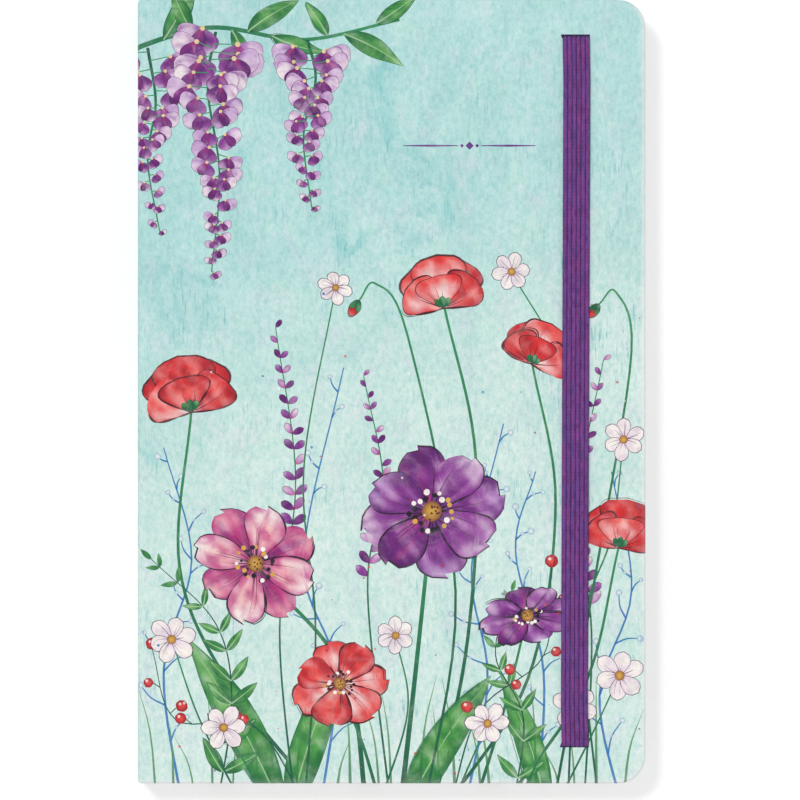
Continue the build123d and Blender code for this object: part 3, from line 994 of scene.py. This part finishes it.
def elastic_knit():
    """Purple ribs of fine yarn, with painted shade darkening the channels between them."""
    m = Mat("elastic_knit", 0.7, Sheen_Weight=0.06, Sheen_Roughness=0.5)
    weave = m.axes(m.attribute("Weave", "Vector"))
    arm = m.math("ABSOLUTE", m.math("SUBTRACT", m.math("FRACT", weave["X"]), 0.5))
    turns = m.math("ADD", weave["Y"], m.times(arm, 1.1))
    stitch = m.math("SINE", m.times(turns, 2 * math.pi))
    yarn = m.noise(m.coords((1500.0, 500.0, 1500.0)), 1.0, 3, 0.6)
    mottle = m.math("ADD", m.times(stitch, 0.05), yarn)
    colour = m.ramp(mottle, (0.3, lin(82, 33, 103)), (0.5, lin(105, 49, 127)), (0.72, lin(120, 63, 143)))
    streak = m.noise(m.coords((1600.0, 150.0, 1600.0)), 1.0, 2, 0.6)
    tint = m.shades(streak, 0.36, (0.7, 1.1, 1.05), (1, 1, 1), (1.3, 0.85, 0.97))
    colour = m.mix(1.0, colour, tint, "MULTIPLY")
    # Painted shade in the channels between the ribs
    colour = m.mix(m.attribute("GrooveShade"), colour, lin(58, 16, 84))
    m.bump(m.math("ADD", m.times(stitch, 0.12), yarn), 0.4, 0.0001)
    return m.finish(colour)


def fibre_colour(m, grain, low, *colours):
    """A colour that varies with soft clouds and fine fibres."""
    plain = m.coords()
    fibre = m.noise(plain, grain, 5, 0.6)
    m.bump(fibre, 0.15, 0.00004)
    blend = m.math("ADD", m.times(fibre, 0.5), m.times(m.noise(plain, 40, 3, 0.5), 0.5))
    return m.shades(blend, low, *colours)


def end_paper():
    m = Mat("endpaper", 0.85)
    return m.finish(fibre_colour(m, 900, 0.35, lin(212, 202, 226), lin(222, 213, 232), lin(231, 224, 238)))


# Ruled lines, in metres from the middle of the book; the weight is a share of the pitch
RULE_PITCH = 0.0071
RULE_SHIFT = 0.5
RULE_WEIGHT = 0.045
RULED_LEFT = -0.0545
RULED_RIGHT = 0.048
RULED_HALF = 0.084


def page_paper():
    """Cream paper with ruled lines on the writing area."""
    m = Mat("page_paper", 0.85)
    colour = fibre_colour(m, 900, 0.35, lin(240, 235, 222), lin(246, 242, 231), lin(250, 247, 238))
    at = m.axes(m.coords())
    row = m.math("FRACT", m.math("DIVIDE", m.math("ADD", at["Y"], RULE_SHIFT), RULE_PITCH))
    line = m.math("LESS_THAN", row, RULE_WEIGHT)
    line = m.times(line, m.math("GREATER_THAN", at["X"], RULED_LEFT))
    line = m.times(line, m.math("LESS_THAN", at["X"], RULED_RIGHT))
    line = m.times(line, m.math("LESS_THAN", m.math("ABSOLUTE", at["Y"]), RULED_HALF))
    return m.finish(m.mix(m.times(line, 0.55), colour, lin(150, 128, 176)))


SLIT_SHADE_REACH = 0.6


def grey_board():
    """Pulp board, with painted shade, tinted as a painted reflection of the purple band, where the slits
    for the band are cut through it.
    """
    m = Mat("greyboard", 0.9)
    colour = fibre_colour(m, 500, 0.3, lin(120, 116, 108), lin(150, 145, 136), lin(172, 166, 156))
    at = m.axes(m.coords())
    off = m.math("ABSOLUTE", m.math("SUBTRACT", m.math("ABSOLUTE", at["Y"]), SLIT_Y * MM))
    aside = m.math("ABSOLUTE", m.math("SUBTRACT", at["X"], STRAP_X * MM))
    near = m.math("LESS_THAN", off, STRAP_T * MM)
    cut = m.times(near, m.math("LESS_THAN", aside, (STRAP_W / 2 + SLIT_SHADE_REACH) * MM))
    # Painted shade in the slits, tinted purple as a painted reflection of the band
    return m.finish(m.mix(cut, colour, lin(100, 86, 158)))


def woven_cloth(name, dark, light):
    m = Mat(name, 0.9)
    plain = m.coords()
    waves = [
        m.node("ShaderNodeTexWave", {"Vector": plain, "Scale": 350.0, "Distortion": 0.6},
               wave_type="BANDS", bands_direction=way, wave_profile="SIN").outputs["Fac"]
        for way in ("Y", "Z")
    ]
    weave = m.times(*waves)
    m.bump(weave, 0.5, 0.0001)
    blend = m.math("ADD", m.times(weave, 0.6), m.times(m.noise(plain, 900), 0.4))
    return m.finish(m.ramp(blend, (0.3, dark), (0.7, light)))


def letter_ink():
    m = Mat("letter_ink", 0.8)
    return m.finish(m.ramp(m.noise(m.coords(), 800), (0.3, lin(82, 40, 108)), (0.7, lin(104, 58, 130))))


PRINTED = printed_paper()
ELASTIC = elastic_knit()
END_PAPER = end_paper()
PAGE = page_paper()
GREY = grey_board()
LINING = woven_cloth("lining_cloth", lin(196, 186, 166), lin(232, 224, 206))
BAND = woven_cloth("band_cloth", lin(84, 44, 110), lin(146, 96, 168))
LETTER_INK = letter_ink()


def coat(ob, material):
    ob.data.materials.clear()
    ob.data.materials.append(material)


def dress(ob, material, replaces=(), body=None):
    coat(ob, material)
    if replaces:
        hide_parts(*replaces)
    if body:
        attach(ob, body)
    return ob


def point_m(x, y, z):
    return (x * MM, y * MM, z * MM)


# Printed paper on the covers, the spine and the two joints
DESIGN = cover_design()
LEAN = 0.35
SLIT_LEAN = 0.15
STRAIGHTEN = 12.0
SLIT_TEAR = 0.4
SLIT_DRIFT = 0.18
SLIT_TUCK = 0.05
SLIT_PAST = 0.1
JOINT_GAP = 0.1
JOINT_STACK = JOINT_R - JOINT_GAP
JOINT_COLUMNS = 6
SPINE_COLUMNS = 2


def band_x(y):
    """Middle of the band, which runs slightly askew and straightens near the slits."""
    end = smooth((abs(y) - SLIT_Y + STRAIGHTEN) / STRAIGHTEN)
    return STRAP_X + y / SLIT_Y * (LEAN + (SLIT_LEAN - LEAN) * end)


def slit(side):
    """The cut in the paper, a little nearer the head than the board's, and torn at its left end."""
    x = band_x(side * SLIT_Y)
    left = x - STRAP_W / 2
    middle = SLIT_Y + side * SLIT_DRIFT
    near = middle - STRAP_T / 2 - SLIT_CLEARANCE
    far = middle + STRAP_T / 2 + SLIT_CLEARANCE
    right = x + STRAP_W / 2 + SLIT_PAST
    torn = left - SLIT_TEAR
    points = [(torn, far - SLIT_TEAR), (left + SLIT_TUCK, near), (right, near), (right, far), (torn, far)]
    return [(u, side * v) for u, v in points][::side]


lines, reach = fold_lines(COVER_STACK, TURN_SEEN)
cover_folds = [cover_ring(run) for run in lines]
paper_sheet(
    "front_paper", "front_wrap", "front_cover", cover_ring(reach), cover_folds, [slit(1), slit(-1)], DESIGN,
    lambda points, depth: cover_fold(points, depth, True), cover_wear_and_painted_light,
)
paper_sheet(
    "back_paper", "back_wrap", "back_cover", cover_ring(reach), cover_folds, [],
    mirrored(DESIGN, LIP_LEFT + U_BACK), lambda points, depth: cover_fold(points, depth, False),
    cover_wear_and_painted_light, -1,
)


def spine_sheet(name, node, body, start, end, stack, turn_in, columns):
    """A stretch of the paper over the spine, between two flat positions."""
    lines, reach = fold_lines(stack, turn_in)
    top = Y_HEAD - RIM_R
    far = top + reach
    folds = [[(start, side * (top + run)), (end, side * (top + run))] for run in lines for side in (1, -1)]
    for k in range(1, columns):
        u = start + (end - start) * k / columns
        folds.append([(u, -far), (u, far)])
    return paper_sheet(
        name, node, body, [(start, -far), (end, -far), (end, far), (start, far)], folds, [], DESIGN,
        lambda points, depth: spine_fold(points, depth, stack), spine_wear_and_painted_light,
    )


def joint_sheet(name, node, start, end):
    return spine_sheet(name, node, None, start, end, JOINT_STACK, JOINT_TURN_SEEN, JOINT_COLUMNS)


spine_sheet(
    "spine_paper", "spine_wrap", "spine", U_REAR_JOINT, U_FRONT_JOINT, SPINE_STACK, SPINE_TURN_SEEN,
    SPINE_COLUMNS,
)
front_joint = joint_sheet("front_joint_paper", "front_joint_strip", U_FRONT_JOINT, LIP_LEFT)
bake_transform(front_joint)
rear_joint = joint_sheet("rear_joint_paper", "rear_joint_strip", U_BACK, U_REAR_JOINT)
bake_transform(rear_joint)

for node in ("front_board", "back_board", "spine_board"):
    coat(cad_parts[node], GREY)
for node in ("front_pastedown", "back_pastedown", "front_flyleaf", "back_flyleaf"):
    coat(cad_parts[node], END_PAPER)


# Elastic band in two halves: along the cover, down through a slit and along behind it
BEND_R = 0.6
TAIL_BEND_R = 0.55
LEG_INSET = 0.05
LEG_PRESS = 0.18
PRESS_TILT = 0.8
RIB_STEPS = 8
RIB_DEPTH = 0.24
RIB_ROUND = 0.55
# Painted shade in the channels between ribs: where it starts on a rib's profile and how it fades in
GROOVE_SHADE_BELOW = 0.65
GROOVE_SHADE_FADE = 1.2
SHOULDER = 0.4
SHOULDER_ROUND = 14
UNDERSIDE = 0.985
STITCH = 0.9
BAND_ROWS = 90
BEND_STEPS = 8
TAIL_BEND_STEPS = 6
BAND_SHARP = 60


def band_path():
    """Distance from the middle, height and tilt of the band's middle layer."""
    leg = SLIT_Y - LEG_INSET
    top = BOOK_T + STRAP_T / 2
    low = END_LOW[2] + STRAP_T / 2
    path = [((leg - BEND_R) * k / BAND_ROWS, top, 0.0) for k in range(BAND_ROWS + 1)]
    for a in quarter(BEND_STEPS)[1:]:
        path.append((leg - BEND_R + BEND_R * math.sin(a), top - BEND_R + BEND_R * math.cos(a), a))
    path.append((leg, low + TAIL_BEND_R, math.pi / 2))
    r = TAIL_BEND_R
    for a in quarter(TAIL_BEND_STEPS)[1:]:
        path.append((leg - r + r * math.cos(a), low + r - r * math.sin(a), math.pi / 2 + a))
    path.append((END_LOW[1], low, math.pi))
    return path


def band_section(tilt):
    """Across, up, painted shade in the channels and rib number round the band; it is pressed thinner in the
    slit.
    """
    thick = STRAP_T * (1.0 - LEG_PRESS * smooth(tilt / PRESS_TILT))
    count = RIBS * RIB_STEPS
    points = []
    for k in range(count + 1):
        hump = math.sin(math.pi * (k % RIB_STEPS) / RIB_STEPS) ** RIB_ROUND
        s = k / count
        shoulder = 1 - SHOULDER + SHOULDER * (1 - (2 * s - 1) ** SHOULDER_ROUND)
        up = (thick / 2 - RIB_DEPTH * (1 - hump)) * shoulder
        # How much painted shade darkens the channel at this point
        groove_shade = max(0.0, (GROOVE_SHADE_BELOW - hump) / GROOVE_SHADE_BELOW) ** GROOVE_SHADE_FADE
        points.append(((s - 0.5) * STRAP_W, up, groove_shade, s * RIBS))
    for s in (1.0, 0.75, 0.5, 0.25, 0.0):
        points.append(((s - 0.5) * STRAP_W * UNDERSIDE, -thick / 2, 0.0, s * RIBS))
    return points


def band_half(name, side, end_node):
    path = band_path()
    verts, groove_shades, weave = [], [], []
    along = 0.0
    for k, (y, z, tilt) in enumerate(path):
        along += math.dist(path[k][:2], path[k - 1][:2]) if k else 0.0
        section = band_section(tilt)
        for across, up, groove_shade, rib in section:
            out = side * (y + math.sin(tilt) * up)
            verts.append(point_m(band_x(side * y) + across, out, z + math.cos(tilt) * up))
            groove_shades.append(groove_shade)
            weave.append((rib, along / STITCH, 0.0))
    n = len(section)
    faces = tube(len(path), n) + [tuple(range(len(verts) - n, len(verts)))]
    mesh = new_mesh(name, verts, [face[::side] for face in faces])
    mesh.attributes.new("GrooveShade", "FLOAT", "POINT").data.foreach_set("value", np.array(groove_shades, np.float32))
    woven = mesh.attributes.new("Weave", "FLOAT_VECTOR", "POINT")
    woven.data.foreach_set("vector", np.array(weave, np.float32).ravel())
    ob = dress(shown(name, mesh, BAND_SHARP), ELASTIC, ["elastic_strap", end_node])
    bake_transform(ob)


band_half("elastic_band_head_half", 1, "elastic_end_head")
band_half("elastic_band_tail_half", -1, "elastic_end_tail")


# Leaves with step-cut tabs, a loose edge to every sheet, and the letters on both sides of each tab
ROUND_STEPS = 6
LEAF_SEED = 5
LEAF_GAP = 0.012
LEAF_SHIFT = 0.09
LETTER_SIZE = 3.6
LETTER_INSET = 0.008
LETTER_ASIDE = 0.2
FIRST_LETTER_DROP = 0.8


def rounded(corners):
    """An outline from right-angled corners, each with its radius."""
    points = []
    for k, (corner, r) in enumerate(corners):
        b = np.array(corner, float)
        u, v = (np.array(corners[j % len(corners)][0], float) - b for j in (k - 1, k + 1))
        u, v = u / np.linalg.norm(u), v / np.linalg.norm(v)
        for a in quarter(ROUND_STEPS) if r else [0.0]:
            points.append(b + (u * (1 - math.sin(a)) + v * (1 - math.cos(a))) * r)
    return points


def leaf_outline(index, inset):
    left, right = PAGE_LOW[0], PAGE_HIGH[0] - inset
    low, high = PAGE_LOW[1] + inset, PAGE_HIGH[1] - inset
    step = PAGE_HIGH[1] - (index + 1) * TAB_H
    cut = right - TAB_W
    lower = [((cut, low), PAGE_R), ((cut, step), STEP_R), ((right, step), TAB_R)]
    if index == len(LETTERS) - 1:
        lower = [((right, low), PAGE_R)]
    return rounded([((left, low), 0), *lower, ((right, high), PAGE_R), ((left, high), 0)])


def leaf_stack(index, letters, rng):
    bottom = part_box("leaves_" + letters)[0].z / MM
    pitch = SECTION_T / LEAVES
    verts, faces = [], []
    for k in range(LEAVES):
        outline = leaf_outline(index, rng.uniform(0.0, LEAF_SHIFT))
        n, first = len(outline), len(verts)
        for z in (bottom + pitch * k + LEAF_GAP, bottom + pitch * (k + 1) - LEAF_GAP):
            verts += [point_m(x, y, z) for x, y in outline]
        faces.append(tuple(range(first + n - 1, first - 1, -1)))
        faces.append(tuple(range(first + n, first + 2 * n)))
        faces += [tuple(first + i for i in face) for face in tube(2, n)]
    name = "leaf_stack_" + letters
    ob = shown(name, new_mesh(name, verts, faces))
    dress(ob, PAGE, ["leaves_" + letters], "section_" + letters)


def tab_letters(index, letters, front):
    """The letters read up the tab and lie just clear of its face."""
    low, high = box_mm("leaves_" + letters)
    text = bpy.data.curves.new("letters", "FONT")
    text.body = "W-Z" if letters == "w_z" else letters.upper().replace("_", " ")
    text.size = LETTER_SIZE
    text.align_x, text.align_y = "CENTER", "CENTER"
    setting = placed("letters", text)
    mesh = bpy.data.meshes.new_from_object(setting.evaluated_get(bpy.context.evaluated_depsgraph_get()))
    bpy.data.objects.remove(setting)
    x = PAGE_HIGH[0] - TAB_W / 2 - LETTER_ASIDE
    y = PAGE_HIGH[1] - (index + 0.5) * TAB_H - (FIRST_LETTER_DROP if index == 0 else 0.0)
    z = high[2] - LETTER_INSET if front else low[2] + LETTER_INSET
    way = 1 if front else -1
    for vert in mesh.vertices:
        vert.co = point_m(x - way * vert.co.y, y + vert.co.x, z)
    if not front:
        mesh.flip_normals()
    mesh.update()
    name = "letters_" + letters + ("_front" if front else "_back")
    dress(shown(name, mesh), LETTER_INK, body="section_" + letters)


leaf_rng = random.Random(LEAF_SEED)
for index, letters in enumerate(LETTERS):
    leaf_stack(index, letters, leaf_rng)
    for front in (True, False):
        tab_letters(index, letters, front)


# Cloth on the backs of the sections, pressed thinner at mid-height where it would fold as the book opens
FOLD_HALF = 0.6
CLOTH_ROWS = 41
CLOTH_INSET = 0.05
SKIRT_T = 0.3
PRESS = 0.22
PRESS_REACH = 1.6
CLOTH_SHARP = 40
BEAD_STEPS = 12
BEAD_START = -0.42
BEAD_NECK = 1.95


def folding_cloth(name, node, profile, material):
    """A profile of x, y and how far a point gives way where the cloth is pressed thin at its fold."""
    low, high = box_mm(node)
    n = len(profile)
    heights = np.linspace(low[2] + CLOTH_INSET, high[2] - CLOTH_INSET, CLOTH_ROWS)
    press = PRESS * smooth((PRESS_REACH - np.abs(heights - BOOK_T / 2)) / (PRESS_REACH - FOLD_HALF))
    verts = [point_m(x - p * give, y, z) for z, p in zip(heights, press) for x, y, give in profile]
    ends = [tuple(range(n - 1, -1, -1)), tuple(range(len(verts) - n, len(verts)))]
    mesh = new_mesh(name, verts, ends + tube(CLOTH_ROWS, n))
    ob = dress(shown(name, mesh, CLOTH_SHARP), material, [node])
    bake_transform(ob)
    return ob


low, high = box_mm("spine_lining")
rectangle = [(low[0], low[1], 0), (high[0], low[1], 1), (high[0], high[1], 1), (low[0], high[1], 0)]
lining = folding_cloth("spine_cloth", "spine_lining", rectangle, LINING)


def band_profile(node, side):
    """A bead on a thin skirt, seen along the book's thickness."""
    low, high = box_mm(node)
    r = (high[0] - low[0]) / 2
    far, near = (high[1], low[1]) if side > 0 else (-low[1], -high[1])
    inner = low[0] + SKIRT_T
    points = [(low[0], near, 0), (inner, near, 1), (inner, far - BEAD_NECK * r, 1)]
    for k in range(BEAD_STEPS + 1):
        a = math.pi * (BEAD_START + (1 - BEAD_START) * k / BEAD_STEPS)
        points.append((low[0] + r + r * math.cos(a), far - r + r * math.sin(a), 0))
    return [(x, side * y, give) for x, y, give in points][::side]


folding_cloth("head_band_cloth", "head_band", band_profile("head_band", 1), BAND)
folding_cloth("tail_band_cloth", "tail_band", band_profile("tail_band", -1), BAND)


# Floor, light and camera
FLOOR_HALF = 4.0
FLOOR_Z = -0.0001
FLOOR_GREY = 0.75
FLOOR_SEEN_GREY = 0.48
FLOOR_GLOW = 0.56
SKY_LIGHT = 0.64
SUN_LIGHT = 1.2
SUN_DEGREES = 8
SUN_WAY = (0.26, -0.295, -1.0)
CAMERA_HEIGHT = 2.5
CAMERA_REACH = 20
SENSOR = 36
VIEW_WIDTH = 0.20006
VIEW_CENTRE = (0.0021, -0.0021)


def white_floor():
    """White to the camera, with the object's shadow; a pale grey floor to everything else."""
    m = Mat("floor", 0.9, Specular_IOR_Level=0.0, Emission_Color=(1, 1, 1))
    rays = m.node("ShaderNodeLightPath").outputs
    seen = m.math("MAXIMUM", rays["Is Camera Ray"], rays["Is Glossy Ray"])
    seen = m.math("MAXIMUM", seen, rays["Is Transmission Ray"])
    m.feed(m.bsdf.inputs["Emission Strength"], m.times(seen, FLOOR_GLOW))
    return m.finish(m.mix(seen, (FLOOR_GREY,) * 3, (FLOOR_SEEN_GREY,) * 3))


corners = [(x * FLOOR_HALF, y * FLOOR_HALF, FLOOR_Z) for x, y in ((-1, -1), (1, -1), (1, 1), (-1, 1))]
floor = shown("floor", new_mesh("floor", corners, [(0, 1, 2, 3)]))
coat(floor, white_floor())

world = bpy.data.worlds.new("studio")
world.use_nodes = True
sky = world.node_tree.nodes["Background"].inputs
sky["Color"].default_value = (1, 1, 1, 1)
sky["Strength"].default_value = SKY_LIGHT
bpy.context.scene.world = world

sun = bpy.data.lights.new("key", "SUN")
sun.energy = SUN_LIGHT
sun.angle = math.radians(SUN_DEGREES)
placed("key", sun).rotation_euler = Vector(SUN_WAY).to_track_quat("-Z", "Y").to_euler()

lens = bpy.data.cameras.new("camera")
lens.sensor_width = SENSOR
lens.lens = SENSOR * (CAMERA_HEIGHT - BOOK_T * MM) / VIEW_WIDTH
lens.clip_end = CAMERA_REACH
camera = placed("camera", lens)
camera.location = (*VIEW_CENTRE, CAMERA_HEIGHT)
bpy.context.scene.camera = camera
bpy.context.scene.view_settings.view_transform = "Standard"
